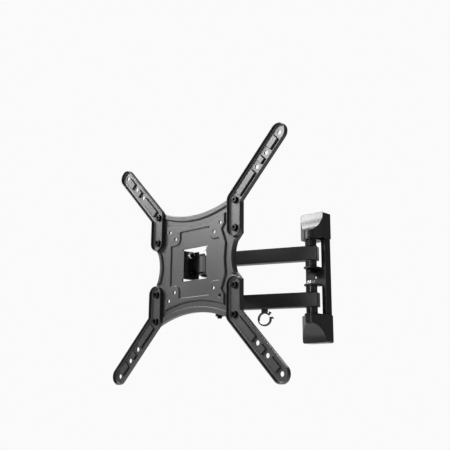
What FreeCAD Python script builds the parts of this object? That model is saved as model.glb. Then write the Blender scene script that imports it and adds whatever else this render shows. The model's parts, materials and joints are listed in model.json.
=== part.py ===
import FreeCAD, Part
import math
import os
from FreeCAD import Vector

os.makedirs("parts", exist_ok=True)

# Full motion TV wall mount, millimetres.
# Origin: centre of the wall hole pattern, on the wall. +X right seen from the front, +Y into the wall, +Z up.

# ---- arms and pivots ----
PIVOT_Y = -30.8          # wall pivot axis in front of the wall
ARM_L = 200.0            # pivot to pivot, both arms
REAR_ANGLE = 200.6       # direction of the rear arm, degrees about +Z from +X
FRONT_ANGLE = 306.4      # direction of the front arm
TUBE_W = 20.0
TUBE_H = 30.0
TUBE_T = 2.0
TUBE_END = 15.0          # tube end past the pivot axis
TUBE_Z = 47.0            # height of each rear tube's centre above and below the middle
PIN_R = 5.0
RUN_R = 5.05             # running bore for the pins
GAP = 0.3

# ---- wall plate ----
CH_HALF = 26.25          # half width of the channel
CH_FACE = -16.0          # front face of the channel's web
CH_T = 3.0
EAR_R = 15.0
EAR_IN = 16.0            # inner ear: underside height
EAR_OUT = 75.0           # outer ear: underside height
TAB_HALF = 23.5
TAB_END = 126.0
WALL_HOLE_Z = 106.0
WALL_HOLE_R = 4.5

# ---- covers ----
CV_HALF = 28.5
CV_END = 132.5
CV_DEPTH = 25.5
CV_T = 2.5
CV_CORNER = 4.0
NOSE_R = 14.5
BROW = (12.5, -38.2)     # where the sloping shoulder meets the nose
SCOOP_Z = 39.0           # height of the hollow cut over the nose

# ---- TV plate, in its own frame: x across, y from its front face back, z up ----
PLATE_OFF = 33.0         # swivel axis behind the plate's front face
SHEET = 3.0
LOW = 3.5                # depth of the low surround
STEP = 1.8               # slope at the edge of each raised area
EDGE_R = 240.0           # radius of the hollow top and bottom edges
EDGE_Z = 89.8            # top edge height in the middle
WIN_X = 32.0
WIN_LO = -31.5
WIN_HI = 28.5
EAR_H = 26.0             # half height of the tilt ears
EAR_DEEP = 39.0
TILT_Y = 15.0
TILT_Z = 18.0
CHEEK_END = 29.0         # back face of the swivel bracket's web
WEB_IN = 15.4            # the web's inner edge, beside the barrel
LOCK_Y = 19.0
LOCK_Z = -14.0
TILT_BOLT = (4.0, 13.0, 8.0)      # shank radius, across flats, washer radius
LOCK_BOLT = (3.0, 10.0, 6.0)
TILT_MIN = -5.0
TILT_MAX = 12.0

# ---- extension arms ----
XA_R = 16.0              # half width
XA_T = 2.0
XA_RIM = 4.5             # rim stands this far in front of the plate's face
XA_BAR = 3.8             # height of the raised bars between the holes
XA_FOOT = 2.5            # rounding between the floor and the walls
XA_ROOT = (100.0, 50.0)
XA_BEND = (100.0, 100.0)
XA_TIP = (200.0, 200.0)
VESA = (200.0, 171.0, 150.0)
VESA_R = 4.25
HOLE_R = 3.5

DOWN = Vector(0, 0, -1)
UP = Vector(0, 0, 1)
ALONG_X = Vector(1, 0, 0)
ALONG_Y = Vector(0, 1, 0)


def heading(angle, length):
    a = math.radians(angle)
    return Vector(length * math.cos(a), length * math.sin(a), 0)


WALL_PIVOT = Vector(0, PIVOT_Y, 0)
ELBOW = WALL_PIVOT + heading(REAR_ANGLE, ARM_L)
HEAD = ELBOW + heading(FRONT_ANGLE, ARM_L)
PLATE = HEAD + Vector(0, -PLATE_OFF, 0)


def box(x0, x1, y0, y1, z0, z1):
    return Part.makeBox(x1 - x0, y1 - y0, z1 - z0, Vector(x0, y0, z0))


def rod(r, x, y, z0, z1):
    return Part.makeCylinder(r, z1 - z0, Vector(x, y, z0), UP)


def rod_x(r, y, z, x0, x1):
    return Part.makeCylinder(r, x1 - x0, Vector(x0, y, z), ALONG_X)


def rod_y(r, x, z, y0, y1):
    return Part.makeCylinder(r, y1 - y0, Vector(x, y0, z), ALONG_Y)


def ring(r_out, r_in, x, y, z0, z1):
    return rod(r_out, x, y, z0, z1).cut(rod(r_in, x, y, z0 - 1, z1 + 1))


def fuse(shapes):
    return shapes[0].multiFuse(shapes[1:]).removeSplitter()


def polygon(points):
    return Part.Face(Part.makePolygon(points + [points[0]]))


def plan(points, z0, z1):
    return polygon([Vector(x, y, z0) for x, y in points]).extrude(Vector(0, 0, z1 - z0))


def front(points, y0, y1):
    return polygon([Vector(x, y0, z) for x, z in points]).extrude(Vector(0, y1 - y0, 0))


def side(points, x0, x1):
    return polygon([Vector(x0, y, z) for y, z in points]).extrude(Vector(x1 - x0, 0, 0))


def hexagon(across_flats, base, direction, length):
    r = across_flats / math.sqrt(3)
    u = Vector(0, 0, 1).cross(direction)
    if u.Length < 0.5:
        u = Vector(1, 0, 0)
    w = direction.cross(u)
    corners = []
    for i in range(6):
        a = math.radians(60 * i)
        corners.append(base + u * (r * math.cos(a)) + w * (r * math.sin(a)))
    body = polygon(corners).extrude(direction * length)
    trim = Part.makeCone(r + 0.2, across_flats / 2 - 0.1, 1.6, base + direction * (length - 1.2), direction)
    lower = Part.makeCylinder(r + 0.2, length - 1.2, base, direction)
    return body.common(lower.fuse(trim))


def mirror_x(shape):
    return shape.mirror(Vector(0, 0, 0), Vector(1, 0, 0))


def mirror_z(shape):
    return shape.mirror(Vector(0, 0, 0), Vector(0, 0, 1))


def edges_where(shape, test):
    return [e for e in shape.Edges if test(e)]


def flat_at_y(edge, y):
    return all(abs(p.y - y) < 1e-4 for p in edge.discretize(5))


def save(name, shape):
    shape.exportStep(os.path.join("parts", name + ".step"))


def group(name, shapes):
    save(name, Part.makeCompound(shapes))


def turned(shape, pivot, angle):
    moved = shape.copy()
    moved.rotate(Vector(0, 0, 0), UP, angle)
    moved.translate(pivot)
    return moved


def at_plate(shape):
    moved = shape.copy()
    moved.translate(PLATE)
    return moved


# ---- wall plate: channel with four pivot ears, closed ends and two tabs against the wall ----
def ear(z0):
    tongue = box(-EAR_R, EAR_R, PIVOT_Y, CH_FACE + CH_T, z0, z0 + CH_T)
    body = tongue.fuse(rod(EAR_R, 0, PIVOT_Y, z0, z0 + CH_T))
    return body.cut(rod(PIN_R + 0.2, 0, PIVOT_Y, z0 - 1, z0 + CH_T + 1))


def wall_plate():
    end = EAR_OUT + CH_T
    channel = box(-CH_HALF, CH_HALF, CH_FACE, 0, -end, end)
    upright = edges_where(channel, lambda e: abs(e.Vertexes[0].Z - e.Vertexes[1].Z) > 10
                          and e.Vertexes[0].Y < -1)
    channel = channel.makeFillet(3.5, upright)
    inside = box(-CH_HALF + CH_T, CH_HALF - CH_T, CH_FACE + CH_T, 1, -EAR_OUT, EAR_OUT)
    channel = channel.cut(inside)
    pieces = [channel]
    for z0 in (EAR_IN, EAR_OUT, -EAR_IN - CH_T, -EAR_OUT - CH_T):
        pieces.append(ear(z0))
    for s in (1, -1):
        z0, z1 = sorted((s * EAR_OUT, s * TAB_END))
        pieces.append(box(-TAB_HALF, TAB_HALF, -CH_T, 0, z0, z1))
    body = fuse(pieces)
    windows = []
    for s in (1, -1):
        z0, z1 = sorted((s * (EAR_IN + CH_T), s * EAR_OUT))
        windows.append(box(-EAR_R, EAR_R, CH_FACE - 0.5, CH_FACE + CH_T + 0.5, z0, z1))
        windows.append(rod_y(WALL_HOLE_R, 0, s * WALL_HOLE_Z, -CH_T - 1, 1))
        windows.append(rod(PIN_R + 0.2, 0, PIVOT_Y, s * 47 - 40, s * 47 + 40))
    windows.append(rod_y(2.5, 0, 0, CH_FACE - 1, CH_FACE + CH_T + 1))
    return body.cut(windows)


# ---- end cover: box at the outer end, nose round the pivot, hollow cut between them ----
def cover_mass(half, depth, brow, nose_r, z0, z1, corner):
    """Box with rounded outer corners, sloping shoulders and a round nose."""
    bx, by = brow
    prow = plan([(-half, -depth), (half, -depth), (bx, by), (-bx, by)], z0, z1)
    mass = fuse([box(-half, half, -depth, 1, z0, z1), prow, rod(nose_r, 0, PIVOT_Y, z0, z1)])
    frame = box(-half, half, -60, 2, z0, z1)
    ends = edges_where(frame, lambda e: abs(e.Vertexes[0].Y - e.Vertexes[1].Y) > 10
                       and min(v.Z for v in e.Vertexes) > z1 - 0.1)
    return mass.common(frame.makeFillet(corner, ends))


def scoop(grow):
    centre = Vector(-40, PIVOT_Y - NOSE_R, CV_END)
    minor = CV_DEPTH + PIVOT_Y - NOSE_R
    ellipse = Part.Ellipse(centre + Vector(0, 0, SCOOP_Z + grow), centre + Vector(0, -minor + grow, 0), centre)
    return Part.Face(Part.Wire(ellipse.toShape())).extrude(Vector(80, 0, 0))


def top_cover():
    z0 = EAR_OUT + CH_T
    outer = cover_mass(CV_HALF, CV_DEPTH, BROW, NOSE_R, z0, CV_END, CV_CORNER)
    outer = outer.cut([scoop(0), box(-60, 60, 0, 5, z0 - 1, CV_END + 1)])
    lip = edges_where(outer, lambda e: all(abs(p.z - CV_END) < 1e-4 and p.y < -20 for p in e.discretize(5)))
    outer = outer.makeFillet(1.0, lip)
    brow = (BROW[0] - 1.5, BROW[1] + 2.0)
    end = CV_END - CV_T
    inner = cover_mass(CV_HALF - CV_T, CV_DEPTH - 2.7, brow, NOSE_R - CV_T, z0 - 1, end, CV_CORNER - 1.5)
    return outer.cut(inner.cut(scoop(CV_T)))


# ---- fasteners ----
def pivot_bolt(x, y, z_head, z_end, r=PIN_R):
    head = hexagon(17.0, Vector(x, y, z_head), UP, 6.4)
    shank = rod(r, x, y, z_end, z_head + 1)
    tip = edges_where(shank, lambda e: all(abs(p.z - z_end) < 1e-4 for p in e.discretize(5)))
    return shank.makeChamfer(1.0, tip).fuse(head).removeSplitter()


def low_head_pin(z_head, z_end):
    head = rod(8.5, 0, 0, z_head, z_head + 1.6)
    head = head.makeFillet(0.8, edges_where(head, lambda e: all(abs(p.z - z_head - 1.6) < 1e-4
                                                               for p in e.discretize(5))))
    shank = rod(PIN_R, 0, 0, z_end, z_head + 1)
    tip = edges_where(shank, lambda e: all(abs(p.z - z_end) < 1e-4 for p in e.discretize(5)))
    return shank.makeChamfer(0.6, tip).fuse(head).removeSplitter()


def pivot_nut(x, y, z_top, height):
    body = hexagon(17.0, Vector(x, y, z_top), DOWN, height)
    return body.cut(rod(PIN_R, x, y, z_top - height - 1, z_top + 1))


def fluted_bushing(z0, z1, x=0.0, y=0.0, r=11.6, bore=RUN_R):
    body = ring(r, bore, x, y, z0, z1)
    flutes = []
    for i in range(12):
        a = math.radians(30 * i + 15)
        flutes.append(rod(1.6, x + (r + 0.5) * math.cos(a), y + (r + 0.5) * math.sin(a), z0 + 1.5, z1 - 1.5))
    return body.cut(flutes)


# ---- rectangular tube along +X with its pivot at the origin ----
def tube(z, x0, x1):
    body = box(x0, x1, -TUBE_W / 2, TUBE_W / 2, z - TUBE_H / 2, z + TUBE_H / 2)
    body = body.makeFillet(2.5, edges_where(body, lambda e: abs(e.Vertexes[0].X - e.Vertexes[1].X) > 10))
    w = TUBE_W / 2 - TUBE_T
    h = TUBE_H / 2 - TUBE_T
    return body.cut(box(x0 - 1, x1 + 1, -w, w, z - h, z + h))


def end_cap(z, x, s):
    flange = box(x, x + 3.0, -TUBE_W / 2, TUBE_W / 2, z - TUBE_H / 2, z + TUBE_H / 2)
    outer = edges_where(flange, lambda e: max(v.X for v in e.Vertexes) > x + 2.9)
    flange = flange.makeFillet(2.4, outer)
    w = TUBE_W / 2 - TUBE_T - 0.1
    h = TUBE_H / 2 - TUBE_T - 0.1
    plug = box(x - 5.0, x + 0.5, -w, w, z - h, z + h)
    plug = plug.cut(box(x - 6.0, x - 0.5, -w + 1.6, w - 1.6, z - h + 1.6, z + h - 1.6))
    cap = flange.fuse(plug).removeSplitter()
    if s < 0:
        cap.rotate(Vector(0, 0, z), UP, 180)
    return cap


def rear_tube(z):
    body = tube(z, -TUBE_END + 3, ARM_L + TUBE_END - 3)
    holes = []
    for x in (0, ARM_L):
        holes.append(rod(PIN_R + 0.3 if x == 0 else PIN_R + 0.1, x, 0, z - 20, z + 20))
    if z < 0:
        holes.append(rod(3.2, ARM_L / 2, 0, z - 20, z))
    return body.cut(holes)


def cable_clip():
    zc = -82.4
    xc = ARM_L / 2
    wide = 2.8
    r_out = 14.4
    r_in = 11.2
    loop = Part.makeCylinder(r_out, 2 * wide, Vector(xc, -wide, zc), ALONG_Y)
    loop = loop.cut(Part.makeCylinder(r_in, 2 * wide + 2, Vector(xc, -wide - 1, zc), ALONG_Y))
    a0 = math.radians(136)
    a1 = math.radians(168)
    far = 30.0
    mouth = [(xc, zc), (xc + far * math.cos(a0), zc + far * math.sin(a0)),
             (xc + far * math.cos(a1), zc + far * math.sin(a1))]
    loop = loop.cut(front(mouth, -wide - 1, wide + 1))
    mid = (r_out + r_in) / 2
    parts = [loop]
    for a, lean in ((a0, 1), (a1, -1)):
        ux, uz = math.cos(a), math.sin(a)
        tx, tz = -math.sin(a) * -lean, math.cos(a) * -lean
        bx, bz = xc + (mid - 1.5) * ux, zc + (mid - 1.5) * uz
        ex, ez = xc + (mid + 4.6) * ux + 1.2 * tx, zc + (mid + 4.6) * uz + 1.2 * tz
        nx, nz = -(ez - bz), ex - bx
        n = math.hypot(nx, nz)
        nx, nz = 1.6 * nx / n, 1.6 * nz / n
        corners = [(bx + nx, bz + nz), (ex + nx, ez + nz), (ex - nx, ez - nz), (bx - nx, bz - nz)]
        lip = front(corners, -wide, wide)
        bead = Part.makeCylinder(2.2, 2 * wide, Vector(ex, -wide, ez), ALONG_Y)
        parts += [lip, bead]
    z_under = -TUBE_Z - TUBE_H / 2
    parts.append(box(xc - 6.2, xc + 6.2, -wide, wide, zc + r_out - 2.2, z_under))
    parts.append(rod(3.0, xc, 0, z_under - 1, z_under + TUBE_T))
    parts.append(Part.makeCone(4.2, 2.2, 3.0, Vector(xc, 0, z_under + TUBE_T), UP))
    return fuse(parts)


# ---- head ----
def front_tube():
    body = tube(0, -TUBE_END + 3, ARM_L - 8)
    return body.cut([rod(RUN_R, 0, 0, -20, 20), rod(15.0, ARM_L, 0, -20, 20)])


def swivel_bracket():
    y0 = PLATE_OFF
    parts = []
    outer = WIN_X - SHEET - GAP
    for s in (1, -1):
        x0, x1 = sorted((s * outer, s * (outer - SHEET)))
        points = [(8, -10), (12.5, -25.5), (CHEEK_END, -25.5), (CHEEK_END, 25.5), (8, 25.5)]
        cheek = side(points, x0, x1)
        cheek = cheek.makeFillet(3.0, edges_where(cheek, lambda e: abs(e.Vertexes[0].X - e.Vertexes[1].X) > 2))
        parts.append(cheek)
        xa, xb = sorted((s * WEB_IN, s * (outer - 0.5)))
        parts.append(box(xa, xb, CHEEK_END - SHEET, CHEEK_END, -25.5, 25.5))
        z0, z1 = sorted((s * 16.0, s * 19.0))
        parts.append(rod(EAR_R, 0, y0, z0, z1))
        parts.append(box(-WEB_IN - 2, WEB_IN + 2, CHEEK_END - SHEET, CHEEK_END, z0, z1))
        parts.append(box(-14.0, 14.0, CHEEK_END - SHEET, y0, z0, z1))
    body = fuse(parts)
    tools = [rod(PIN_R + 0.1, 0, y0, -30, 30)]
    tools.append(rod_x(TILT_BOLT[0] + 0.05, TILT_Y, TILT_Z, -40, 40))
    tools.append(rod_x(LOCK_BOLT[0] + 0.1, LOCK_Y, LOCK_Z, -40, 40))
    return body.cut(tools)


def tilt_bolts(y, z, size):
    r_shank, flats, r_washer = size
    out = []
    for s in (1, -1):
        direction = Vector(s, 0, 0)
        head = hexagon(flats, Vector(s * (WIN_X + 1.9), y, z), direction, 0.4 * flats)
        washer = Part.makeCylinder(r_washer, 1.6, Vector(s * (WIN_X + GAP), y, z), direction)
        shank = Part.makeCylinder(r_shank, 15.6, Vector(s * (WIN_X - 13.7), y, z), direction)
        out.append(head.fuse([washer, shank]).removeSplitter())
    return out


def tilt_nuts(y, z, size):
    r_shank, flats, r_washer = size
    out = []
    for s in (1, -1):
        base = Vector(s * (WIN_X - 2 * SHEET - 2 * GAP), y, z)
        nut = hexagon(flats, base, Vector(-s, 0, 0), 6.0)
        out.append(nut.cut(rod_x(r_shank, y, z, -40, 40)))
    return out


# ---- TV plate ----
def top_z(x, r=EDGE_R, z0=EDGE_Z):
    return z0 + r - math.sqrt(r * r - x * x)


def outline(drop, inset, x_end, corner_z, y0, y1):
    """Closed outline: hollow arcs at top and bottom, hollow waist at each side."""
    z_end = top_z(x_end) - drop
    top = Part.Arc(Vector(-x_end, y0, z_end), Vector(0, y0, EDGE_Z - drop), Vector(x_end, y0, z_end))
    bottom = Part.Arc(Vector(x_end, y0, -z_end), Vector(0, y0, -EDGE_Z + drop), Vector(-x_end, y0, -z_end))
    wide = 112.0 - inset
    knee = (99.5 - inset, 27.0)
    low = 40.0 + inset * 0.4
    waist = 94.0 - inset
    corners = [(x_end, z_end), (wide, corner_z), (wide, low), knee]
    right = [Vector(x, y0, z) for x, z in corners]
    left = [Vector(-v.x, y0, v.z) for v in right]
    edges = [top.toShape()]
    edges += Part.makePolygon(right).Edges
    edges.append(Part.Arc(right[3], Vector(waist, y0, 0), Vector(right[3].x, y0, -right[3].z)).toShape())
    edges += Part.makePolygon([Vector(v.x, y0, -v.z) for v in reversed(right)]).Edges
    edges.append(bottom.toShape())
    edges += Part.makePolygon([Vector(v.x, y0, -v.z) for v in left]).Edges
    edges.append(Part.Arc(Vector(left[3].x, y0, -left[3].z), Vector(-waist, y0, 0), left[3]).toShape())
    edges += Part.makePolygon(list(reversed(left))).Edges
    wire = Part.Wire(Part.__sortEdges__(edges))
    return Part.Face(wire).extrude(Vector(0, y1 - y0, 0))


def field(grow, y0, y1):
    """Raised middle of the plate, with the VESA holes; its sides follow the waist."""
    z_end = 82.0 + grow
    x_end = 75.6 + grow
    z_mid = 69.5 + grow
    top = Part.Arc(Vector(-x_end, y0, z_end), Vector(0, y0, z_mid), Vector(x_end, y0, z_end))
    side_points = [(x_end, z_end), (x_end, 63.0), (68.5 + grow, 53.5), (78.5 + grow, 28.0), (76.0 + grow, 0.0)]
    side_points += [(x, -z) for x, z in reversed(side_points[:-1])]
    right = Part.makePolygon([Vector(x, y0, z) for x, z in side_points])
    left = Part.makePolygon([Vector(-x, y0, -z) for x, z in side_points])
    bottom = Part.Arc(Vector(x_end, y0, -z_end), Vector(0, y0, -z_mid), Vector(-x_end, y0, -z_end))
    wire = Part.Wire(Part.__sortEdges__([top.toShape()] + right.Edges + [bottom.toShape()] + left.Edges))
    return Part.Face(wire).extrude(Vector(0, y1 - y0, 0))


def panel(grow, y0, y1):
    """Recessed cross in the middle; its corners go round the 100 mm holes."""
    w = 61.0 + grow
    body = box(-w, w, y0, y1, -w, w)
    pads = []
    for sx in (1, -1):
        for sz in (1, -1):
            r = 13.0 - grow
            pads.append(rod_y(r, 50 * sx, 50 * sz, y0 - 1, y1 + 1))
            xa, xb = sorted((50 * sx, 70 * sx))
            za, zb = sorted(((50 - r) * sz, 70 * sz))
            pads.append(box(xa, xb, y0 - 1, y1 + 1, za, zb))
            xa, xb = sorted(((50 - r) * sx, 70 * sx))
            za, zb = sorted((50 * sz, 70 * sz))
            pads.append(box(xa, xb, y0 - 1, y1 + 1, za, zb))
    return body.cut(pads)


def tv_plate():
    back = LOW + SHEET
    slab = outline(0, 0, 106.0, 108.0, LOW, back)
    flange = outline(0, 0, 106.0, 108.0, back - 0.5, back + 4.0)
    flange = flange.cut(outline(3.0, 3.0, 103.0, 105.0, back - 1, back + 5))
    rim = outline(0, 0, 106.0, 108.0, 0, LOW + 0.5).cut(outline(10.5, 8.5, 103.0, 105.0, -1, LOW + 1))
    keep_top = box(-81.5, 81.5, -1, LOW + 1, 60, 120)
    keep_low = box(-81.5, 81.5, -1, LOW + 1, -120, -60)
    keep_right = box(80, 120, -1, LOW + 1, -30, 30)
    keep_left = box(-120, -80, -1, LOW + 1, -30, 30)
    rim = rim.common(keep_top.fuse([keep_low, keep_right, keep_left]))
    body = fuse([slab, flange, rim, field(0, 0, LOW + 0.5)])
    body = body.cut(panel(0, -1, 2.5))
    pocket = field(-SHEET, SHEET, back + 1).cut(panel(SHEET, SHEET - 1, back + 2))
    body = body.cut(pocket)
    body = body.cut(panel(SHEET, 2.5 + SHEET, back + 1).common(field(-SHEET, 0, back + 1)))
    body = body.cut(box(-WIN_X, WIN_X, -1, back + 1, WIN_LO, WIN_HI))
    steps = edges_where(body, lambda e: flat_at_y(e, 0) and e.Length > 1.5)
    body = body.makeChamfer(STEP, steps)
    ears = []
    for s in (1, -1):
        x0, x1 = sorted((s * WIN_X, s * (WIN_X - SHEET)))
        plate = box(x0, x1, 2.5, EAR_DEEP, -EAR_H, EAR_H)
        ends = edges_where(plate, lambda e: all(abs(v.Y - EAR_DEEP) < 1e-4 for v in e.Vertexes)
                           and abs(e.Vertexes[0].X - e.Vertexes[1].X) > 2)
        plate = plate.makeFillet(6.0, ends)
        ears.append(plate)
        xa, xb = sorted((s * (WIN_X - SHEET), s * (WIN_X + 4)))
        ears.append(box(xa, xb, 2.5, 2.5 + SHEET, -EAR_H, EAR_H))
    body = fuse([body] + ears)
    tools = []
    for sx in (1, -1):
        for sz in (1, -1):
            for d in (50.0, 65.0):
                tools.append(rod_y(HOLE_R, d * sx, d * sz, -5, 15))
            for x, z in (XA_ROOT, XA_BEND):
                tools.append(rod_y(3.2, x * sx, z * sz, -5, 15))
    tools.append(rod_x(TILT_BOLT[0] + 0.05, TILT_Y, TILT_Z, -40, 40))
    tools.append(lock_slot())
    return body.cut(tools)


def lock_slot():
    """Arc slots for the locking bolts, centred on the tilt axis."""
    dy = LOCK_Y - TILT_Y
    dz = LOCK_Z - TILT_Z
    r = math.hypot(dy, dz)
    a = math.degrees(math.atan2(dz, dy))
    w = LOCK_BOLT[0] + 0.5
    centre = Vector(-40, TILT_Y, TILT_Z)
    full = Part.makeCylinder(r + w, 80, centre, ALONG_X).cut(Part.makeCylinder(r - w, 80, centre, ALONG_X))
    a0 = a - TILT_MAX
    a1 = a - TILT_MIN
    far = 80.0
    points = [(TILT_Y, TILT_Z)]
    for t in (a0, (a0 + a1) / 2, a1):
        points.append((TILT_Y + far * math.cos(math.radians(t)), TILT_Z + far * math.sin(math.radians(t))))
    arc = full.common(side(points, -40, 40))
    ends = []
    for t in (a0, a1):
        y = TILT_Y + r * math.cos(math.radians(t))
        z = TILT_Z + r * math.sin(math.radians(t))
        ends.append(rod_x(w, y, z, -40, 40))
    return fuse([arc] + ends)


# ---- extension arm: pressed channel, round ends, rim towards the television ----
def arm_region(r, y0, y1):
    (x0, z0), (x1, z1), (x2, z2) = XA_ROOT, XA_BEND, XA_TIP
    parts = [rod_y(r, x0, z0, y0, y1), rod_y(r, x1, z1, y0, y1), rod_y(r, x2, z2, y0, y1)]
    parts.append(box(x0 - r, x0 + r, y0, y1, z0, z1))
    n = r / math.sqrt(2)
    parts.append(front([(x1 + n, z1 - n), (x2 + n, z2 - n), (x2 - n, z2 + n), (x1 - n, z1 + n)], y0, y1))
    return fuse(parts)


def island(d0, d1, half, y0, y1):
    """Raised bar between two holes, on the sloping part's middle line."""
    n = half / math.sqrt(2)
    body = front([(d0 + n, d0 - n), (d1 + n, d1 - n), (d1 - n, d1 + n), (d0 - n, d0 + n)], y0, y1)
    long_edges = edges_where(body, lambda e: flat_at_y(e, y0))
    return body.makeChamfer(0.9, long_edges)


def extension_arm():
    floor = LOW - XA_T
    trough = arm_region(XA_R - XA_T, -XA_RIM - 1, floor)
    trough = trough.makeFillet(XA_FOOT, edges_where(trough, lambda e: flat_at_y(e, floor)))
    body = arm_region(XA_R, -XA_RIM, LOW).cut(trough)
    rims = edges_where(body, lambda e: flat_at_y(e, -XA_RIM))
    body = body.makeFillet(0.9, rims)
    bars = []
    for d0, d1 in ((108.5, 143.5), (156.5, 164.5), (177.5, 193.5)):
        bars.append(island(d0, d1, 6.5, floor - XA_BAR, floor + 0.5))
    body = fuse([body] + bars)
    holes = [rod_y(VESA_R, d, d, -10, 10) for d in VESA]
    for x, z in (XA_ROOT, XA_BEND):
        holes.append(rod_y(3.2, x, z, -10, 10))
    return body.cut(holes)


def arm_screws():
    floor = LOW - XA_T
    out = []
    for sx in (1, -1):
        for sz in (1, -1):
            for x, z in (XA_ROOT, XA_BEND):
                head = rod_y(6.2, x * sx, z * sz, floor - 4.6, floor)
                head = head.makeFillet(1.6, edges_where(head, lambda e: flat_at_y(e, floor - 4.6)))
                socket = hexagon(5.0, Vector(x * sx, floor - 2.0, z * sz), Vector(0, -1, 0), 6.0)
                shank = rod_y(3.0, x * sx, z * sz, floor - 1, LOW + SHEET + 8.0)
                out.append(head.cut(socket).fuse(shank).removeSplitter())
    return out


def arm_nuts():
    out = []
    for sx in (1, -1):
        for sz in (1, -1):
            for x, z in (XA_ROOT, XA_BEND):
                nut = hexagon(10.0, Vector(x * sx, LOW + SHEET, z * sz), Vector(0, 1, 0), 5.2)
                out.append(nut.cut(rod_y(3.0, x * sx, z * sz, 0, 30)))
    return out


# ---- build every node ----
save("wall_plate", wall_plate())
cover = top_cover()
save("top_cover", cover)
save("bottom_cover", mirror_z(cover))
low_end = -EAR_OUT - CH_T
group("wall_pivot_bolts", [pivot_bolt(0, PIVOT_Y, EAR_OUT + CH_T, EAR_IN - 7.6),
                           pivot_bolt(0, PIVOT_Y, -EAR_IN, low_end - 11.5)])
group("wall_pivot_nuts", [pivot_nut(0, PIVOT_Y, EAR_IN, 8.4), pivot_nut(0, PIVOT_Y, low_end, 8.4)])

for name, z in (("rear_tube_upper", TUBE_Z), ("rear_tube_lower", -TUBE_Z)):
    save(name, turned(rear_tube(z), WALL_PIVOT, REAR_ANGLE))
caps = []
for z in (TUBE_Z, -TUBE_Z):
    caps.append(end_cap(z, ARM_L + TUBE_END - 3, 1))
    caps.append(end_cap(z, TUBE_END - 3, -1))
group("rear_tube_caps", [turned(c, WALL_PIVOT, REAR_ANGLE) for c in caps])
inner_gap = EAR_IN + CH_T + GAP
bushings = [fluted_bushing(TUBE_Z + 15, EAR_OUT - GAP), fluted_bushing(inner_gap, TUBE_Z - 15),
            fluted_bushing(-TUBE_Z + 15, -inner_gap), fluted_bushing(-EAR_OUT + GAP, -TUBE_Z - 15)]
group("pivot_bushings", [turned(b, WALL_PIVOT, REAR_ANGLE) for b in bushings])
save("cable_clip", turned(cable_clip(), WALL_PIVOT, REAR_ANGLE))

tube_top = TUBE_Z + TUBE_H / 2
spacers = [fluted_bushing(TUBE_H / 2 + GAP, TUBE_Z - TUBE_H / 2, bore=PIN_R + 0.1)]
spacers.append(mirror_z(spacers[0]))
group("elbow_spacers", [turned(s, ELBOW, FRONT_ANGLE) for s in spacers])
washers = [ring(11.0, PIN_R + 0.1, 0, 0, tube_top, tube_top + 2.0)]
washers.append(mirror_z(washers[0]))
group("elbow_washers", [turned(w, ELBOW, REAR_ANGLE) for w in washers])
save("elbow_bolt", turned(pivot_bolt(0, 0, tube_top + 2.0, -tube_top - 16.0), ELBOW, REAR_ANGLE))
save("elbow_nut", turned(pivot_nut(0, 0, -tube_top - 2.0, 9.6), ELBOW, REAR_ANGLE))

save("front_tube", turned(front_tube(), ELBOW, FRONT_ANGLE))
save("front_tube_cap", turned(end_cap(0, TUBE_END - 3, -1), ELBOW, FRONT_ANGLE))
save("swivel_barrel", turned(ring(15.0, 9.0, 0, 0, -15, 15), HEAD, FRONT_ANGLE))
bush = ring(8.9, RUN_R, 0, 0, 4, 15).fuse(ring(13.0, RUN_R, 0, 0, 15, 15.7)).removeSplitter()
group("swivel_bushings", [turned(b, HEAD, FRONT_ANGLE) for b in (bush, mirror_z(bush))])

save("swivel_bracket", at_plate(swivel_bracket()))
save("swivel_bolt", turned(low_head_pin(19.0, -23.0), HEAD, 0))
save("swivel_nut", turned(pivot_nut(0, 0, -19.0, 3.2), HEAD, 0))
group("tilt_lock_bolts", [at_plate(b) for b in tilt_bolts(LOCK_Y, LOCK_Z, LOCK_BOLT)])
group("tilt_lock_nuts", [at_plate(n) for n in tilt_nuts(LOCK_Y, LOCK_Z, LOCK_BOLT)])

save("tv_plate", at_plate(tv_plate()))
group("tilt_pivot_bolts", [at_plate(b) for b in tilt_bolts(TILT_Y, TILT_Z, TILT_BOLT)])
group("tilt_pivot_nuts", [at_plate(n) for n in tilt_nuts(TILT_Y, TILT_Z, TILT_BOLT)])
arm = extension_arm()
save("extension_arm_top_right", at_plate(arm))
save("extension_arm_top_left", at_plate(mirror_x(arm)))
save("extension_arm_bottom_right", at_plate(mirror_z(arm)))
save("extension_arm_bottom_left", at_plate(mirror_x(mirror_z(arm))))
group("arm_screws", [at_plate(s) for s in arm_screws()])
group("arm_nuts", [at_plate(n) for n in arm_nuts()])
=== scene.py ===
import json

import bpy
from mathutils import Matrix, Vector

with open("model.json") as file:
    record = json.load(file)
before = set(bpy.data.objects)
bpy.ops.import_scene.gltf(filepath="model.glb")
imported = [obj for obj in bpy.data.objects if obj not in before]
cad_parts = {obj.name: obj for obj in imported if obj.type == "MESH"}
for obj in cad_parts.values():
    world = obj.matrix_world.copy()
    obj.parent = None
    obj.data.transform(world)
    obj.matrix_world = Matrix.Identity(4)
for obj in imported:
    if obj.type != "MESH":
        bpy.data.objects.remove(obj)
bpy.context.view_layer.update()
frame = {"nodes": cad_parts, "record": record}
nodes = frame["nodes"]
scene = bpy.context.scene

# ---------------------------------------------------------------- materials
# socket numbers of the colour Mix node
MIX_FACTOR, MIX_A, MIX_B, MIX_RESULT = 0, 6, 7, 2

# edge wear: radius of the rounded normal, in metres, and how far it leans before wear shows
EDGE_RADIUS = 0.0005
METAL_EDGE_RADIUS = 0.0004
WEAR_SPREAD = 1.6
LEAN_START = 0.02
LEAN_FULL = 0.25
BEVEL_SAMPLES = 6

# noise outputs bunch around a half, so their useful part is stretched
NOISE_LO, NOISE_HI = 0.3, 0.7

# bump heights, in metres
POWDER_RELIEF = 0.0001
MOULD_RELIEF = 0.00006
TURNING_RELIEF = 0.00005

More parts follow.
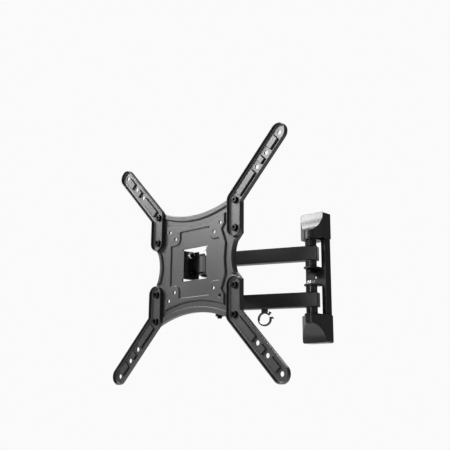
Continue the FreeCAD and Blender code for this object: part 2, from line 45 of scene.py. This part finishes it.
# stretch of the marks left by mould flow and by turning
FLOW_STRETCH = (1.0, 1.0, 0.35)
TURNED_STRETCH = (1.0, 1.0, 30.0)


class Graph:
    """A small helper for building node materials."""

    def __init__(self, name):
        self.mat = bpy.data.materials.new(name)
        self.mat.use_nodes = True
        self.tree = self.mat.node_tree
        self.tree.nodes.clear()
        self.out = self.add("ShaderNodeOutputMaterial")
        self.bsdf = self.add("ShaderNodeBsdfPrincipled")
        self.link(self.bsdf.outputs[0], self.out.inputs[0])
        self.coords = self.add("ShaderNodeTexCoord").outputs["Object"]

    def add(self, kind, **props):
        node = self.tree.nodes.new(kind)
        for key, value in props.items():
            setattr(node, key, value)
        return node

    def link(self, a, b):
        self.tree.links.new(a, b)

    def noise(self, scale, detail, rough, squash=None):
        node = self.add("ShaderNodeTexNoise")
        node.inputs["Scale"].default_value = scale
        node.inputs["Detail"].default_value = detail
        node.inputs["Roughness"].default_value = rough
        source = self.coords
        if squash:
            stretch = self.add("ShaderNodeMapping")
            stretch.inputs["Scale"].default_value = squash
            self.link(self.coords, stretch.inputs[0])
            source = stretch.outputs[0]
        self.link(source, node.inputs["Vector"])
        return node.outputs["Fac"]

    def cells(self, scale):
        node = self.add("ShaderNodeTexVoronoi")
        node.inputs["Scale"].default_value = scale
        self.link(self.coords, node.inputs["Vector"])
        return node.outputs["Distance"]

    def remap(self, value, lo, hi, to_lo, to_hi):
        node = self.add("ShaderNodeMapRange")
        for i, v in enumerate((lo, hi, to_lo, to_hi)):
            node.inputs[i + 1].default_value = v
        self.link(value, node.inputs[0])
        return node.outputs[0]

    def spread(self, noise, to_lo, to_hi):
        """The useful part of a noise, between two values."""
        return self.remap(noise, NOISE_LO, NOISE_HI, to_lo, to_hi)

    def math(self, op, a, b):
        node = self.add("ShaderNodeMath", operation=op)
        for i, v in enumerate((a, b)):
            if isinstance(v, (int, float)):
                node.inputs[i].default_value = v
            else:
                self.link(v, node.inputs[i])
        return node.outputs[0]

    def blend(self, fac, a, b):
        node = self.add("ShaderNodeMix", data_type="RGBA")
        self.link(fac, node.inputs[MIX_FACTOR])
        for socket, value in ((node.inputs[MIX_A], a), (node.inputs[MIX_B], b)):
            if isinstance(value, (tuple, list)):
                socket.default_value = (*value, 1.0)
            else:
                self.link(value, socket)
        return node.outputs[MIX_RESULT]

    def rounded_normal(self, radius):
        node = self.add("ShaderNodeBevel", samples=BEVEL_SAMPLES)
        node.inputs["Radius"].default_value = radius
        return node.outputs[0]

    def edges(self, radius):
        """1 on sharp edges, 0 on flats, from how far a rounded normal leans from the true one."""
        geometry = self.add("ShaderNodeNewGeometry")
        dot = self.add("ShaderNodeVectorMath", operation="DOT_PRODUCT")
        self.link(self.rounded_normal(radius), dot.inputs[0])
        self.link(geometry.outputs["Normal"], dot.inputs[1])
        lean = self.math("SUBTRACT", 1.0, dot.outputs["Value"])
        return self.remap(lean, LEAN_START, LEAN_FULL, 0.0, 1.0)

    def bump(self, height, distance, strength, edge_radius=None):
        node = self.add("ShaderNodeBump")
        node.inputs["Distance"].default_value = distance
        node.inputs["Strength"].default_value = strength
        self.link(height, node.inputs["Height"])
        if edge_radius:
            self.link(self.rounded_normal(edge_radius), node.inputs["Normal"])
        self.link(node.outputs[0], self.bsdf.inputs["Normal"])

    def set(self, **values):
        for key, value in values.items():
            socket = self.bsdf.inputs[key.replace("_", " ")]
            if isinstance(value, (tuple, list)):
                socket.default_value = (*value, 1.0)
            elif isinstance(value, (int, float)):
                socket.default_value = value
            else:
                self.link(value, socket)


def lighter(colour, gain, lift=0.0):
    return tuple(min(1.0, gain * c + lift) for c in colour)


def powder_coat(name, colour, light, rough, specular=0.5):
    """Baked powder paint: fine orange peel, slow tone changes, edges rubbed a little lighter."""
    g = Graph(name)
    slow = g.noise(9.0, 4.0, 0.6)
    fine = g.noise(420.0, 3.0, 0.6)
    peel = g.noise(800.0, 2.0, 0.55)
    rubbed = g.noise(60.0, 4.0, 0.7)
    base = g.blend(g.spread(slow, 0.0, 1.0), colour, light)
    speck = g.remap(fine, 0.62, 0.72, 0.0, 0.25)
    base = g.blend(speck, base, lighter(light, 1.7))
    edges = g.edges(EDGE_RADIUS * WEAR_SPREAD)
    worn = g.math("MULTIPLY", edges, g.remap(rubbed, 0.35, 0.7, 0.0, 0.12))
    base = g.blend(worn, base, lighter(light, 2.6, 0.03))
    roughness = g.math("ADD", g.spread(slow, rough - 0.04, rough + 0.05), g.spread(fine, -0.03, 0.03))
    g.set(Base_Color=base, Metallic=0.0, Roughness=roughness, Specular_IOR_Level=specular)
    g.bump(g.math("ADD", peel, g.math("MULTIPLY", fine, 0.25)), POWDER_RELIEF, 0.22)
    return g.mat


def moulded(name, colour, light, rough, grain=1500.0):
    """Moulded black plastic: spark-eroded grain, faint flow marks, polished corners."""
    g = Graph(name)
    flow = g.noise(14.0, 4.0, 0.6, FLOW_STRETCH)
    pits = g.cells(grain)
    fine = g.noise(grain * 1.3, 2.0, 0.5)
    handled = g.noise(90.0, 3.0, 0.6)
    base = g.blend(g.spread(flow, 0.0, 1.0), colour, light)
    edges = g.edges(EDGE_RADIUS * WEAR_SPREAD)
    rub = g.math("MULTIPLY", edges, g.remap(handled, 0.35, 0.7, 0.1, 0.5))
    base = g.blend(rub, base, lighter(light, 2.0, 0.01))
    roughness = g.math("ADD", g.spread(flow, rough - 0.03, rough + 0.05), g.spread(fine, -0.02, 0.02))
    g.set(Base_Color=base, Metallic=0.0, Roughness=roughness, Specular_IOR_Level=0.5)
    g.bump(g.math("ADD", g.math("MULTIPLY", pits, 0.7), fine), MOULD_RELIEF, 0.25, EDGE_RADIUS)
    return g.mat


def metal(name, colour, dark, rough):
    """Plated or blackened steel with turning marks and small scuffs."""
    g = Graph(name)
    lines = g.noise(160.0, 3.0, 0.6, TURNED_STRETCH)
    stain = g.noise(70.0, 4.0, 0.65)
    base = g.blend(g.remap(stain, 0.35, 0.7, 0.0, 1.0), colour, dark)
    edges = g.edges(METAL_EDGE_RADIUS * WEAR_SPREAD)
    bright = g.math("MULTIPLY", edges, g.remap(stain, 0.3, 0.6, 0.7, 0.2))
    base = g.blend(bright, base, lighter(colour, 1.3, 0.03))
    roughness = g.math("ADD", g.spread(stain, rough - 0.04, rough + 0.1), g.spread(lines, -0.05, 0.05))
    g.set(Base_Color=base, Metallic=1.0, Roughness=roughness)
    g.bump(lines, TURNING_RELIEF, 0.5, METAL_EDGE_RADIUS)
    return g.mat


soft_black = (0.014, 0.014, 0.0145)
soft_black_light = (0.02, 0.02, 0.021)
deep_black = (0.01, 0.01, 0.0105)
deep_black_light = (0.015, 0.015, 0.016)

materials = {
    "plate_grey": powder_coat("plate_grey", (0.022, 0.022, 0.0228), (0.028, 0.028, 0.0288), 0.4),
    "frame_black": powder_coat("frame_black", (0.011, 0.011, 0.0115), (0.016, 0.016, 0.0165), 0.38, 0.34),
    "black_steel": metal("black_steel", (0.03, 0.03, 0.032), (0.015, 0.015, 0.016), 0.28),
    "zinc_steel": metal("zinc_steel", (0.82, 0.83, 0.84), (0.62, 0.63, 0.65), 0.2),
    "cover_plastic": moulded("cover_plastic", soft_black, soft_black_light, 0.3),
    "cap_plastic": moulded("cap_plastic", soft_black, soft_black_light, 0.45),
    "bushing_plastic": moulded("bushing_plastic", deep_black, deep_black_light, 0.12, 900.0),
    "clip_plastic": moulded("clip_plastic", deep_black, deep_black_light, 0.35),
}

for part in frame["record"]["subparts"]:
    target = nodes[part["node"]]
    target.data.materials.clear()
    target.data.materials.append(materials[part["material_slot"]])

# ---------------------------------------------------------------- stage
FLOOR_HALF = 2.2
FLOOR_Z = -0.62

scene.view_settings.view_transform = "Standard"
scene.view_settings.look = "Medium High Contrast"

mesh = bpy.data.meshes.new("floor")
signs = ((-1, -1), (1, -1), (1, 1), (-1, 1))
corners = [(sx * FLOOR_HALF, sy * FLOOR_HALF, FLOOR_Z) for sx, sy in signs]
mesh.from_pydata(corners, [], [(0, 1, 2, 3)])
floor = bpy.data.objects.new("floor", mesh)
scene.collection.objects.link(floor)
plain = Graph("floor")
plain.set(Base_Color=(0.7, 0.7, 0.7), Roughness=0.95, Specular_IOR_Level=0.0)
mesh.materials.append(plain.mat)

# ---------------------------------------------------------------- studio light
# a bright sweep fixed in the room behind the object, a dim room around it, pale ground and ceiling
SWEEP_DIRECTION = (-0.67, 0.71, 0.2)

world = bpy.data.worlds.new("studio")
world.use_nodes = True
tree = world.node_tree
sky = tree.nodes["Background"]
sky.inputs["Color"].default_value = (1.0, 1.0, 1.0, 1.0)
direction = tree.nodes.new("ShaderNodeTexCoord")


def level(source, lo, hi, to_lo, to_hi):
    node = tree.nodes.new("ShaderNodeMapRange")
    node.interpolation_type = "SMOOTHSTEP"
    for i, value in enumerate((lo, hi, to_lo, to_hi)):
        node.inputs[i + 1].default_value = value
    tree.links.new(source, node.inputs[0])
    return node.outputs[0]


def brighter(a, b):
    node = tree.nodes.new("ShaderNodeMath")
    node.operation = "MAXIMUM"
    tree.links.new(a, node.inputs[0])
    tree.links.new(b, node.inputs[1])
    return node.outputs[0]


toward = tree.nodes.new("ShaderNodeVectorMath")
toward.operation = "DOT_PRODUCT"
toward.inputs[1].default_value = SWEEP_DIRECTION
tree.links.new(direction.outputs["Generated"], toward.inputs[0])
height = tree.nodes.new("ShaderNodeSeparateXYZ")
tree.links.new(direction.outputs["Generated"], height.inputs[0])
sweep = level(toward.outputs["Value"], 0.66, 0.9, 0.2, 0.8)
ground = level(height.outputs["Z"], 0.02, -0.2, 0.0, 0.5)
ceiling = level(height.outputs["Z"], 0.4, 0.85, 0.0, 0.6)
tree.links.new(brighter(sweep, brighter(ground, ceiling)), sky.inputs["Strength"])
scene.world = world


def softbox(name, place, target, size, power):
    light = bpy.data.lights.new(name, "AREA")
    light.shape = "RECTANGLE"
    light.size, light.size_y = size
    light.energy = power
    lamp = bpy.data.objects.new(name, light)
    lamp.location = place
    lamp.rotation_euler = (Vector(target) - Vector(place)).to_track_quat("-Z", "Y").to_euler()
    scene.collection.objects.link(lamp)


softbox("key", (-1.35, -1.9, 1.15), (-0.05, -0.25, 0.1), (1.5, 0.8), 72.0)
softbox("top", (-1.3, -0.6, 1.55), (-0.05, -0.15, 0.05), (0.9, 0.9), 30.0)
softbox("fill", (0.35, -2.4, 0.1), (0.0, -0.1, 0.0), (0.5, 1.1), 14.0)
softbox("back", (-0.8, 1.9, 1.0), (0.0, 0.0, 0.0), (1.3, 0.8), 34.0)

# ---------------------------------------------------------------- camera
# the view fitted to the holes of the plate and the edges of the wall end
CAMERA_PLACE = (0.83049, -1.16936, -0.22915)
CAMERA_RIGHT = Vector((0.729754, 0.683669, 0.007495))
CAMERA_UP = Vector((0.153769, -0.174796, 0.972523))

camera = bpy.data.cameras.new("camera")
camera.lens = 56.1
camera.sensor_width = 36.0
camera.clip_start = 0.05
camera.clip_end = 200.0
eye = bpy.data.objects.new("camera", camera)
camera_back = CAMERA_RIGHT.cross(CAMERA_UP)
turn = Matrix((CAMERA_RIGHT, CAMERA_UP, camera_back)).transposed().to_4x4()
eye.matrix_world = Matrix.Translation(CAMERA_PLACE) @ turn
scene.collection.objects.link(eye)
scene.camera = eye
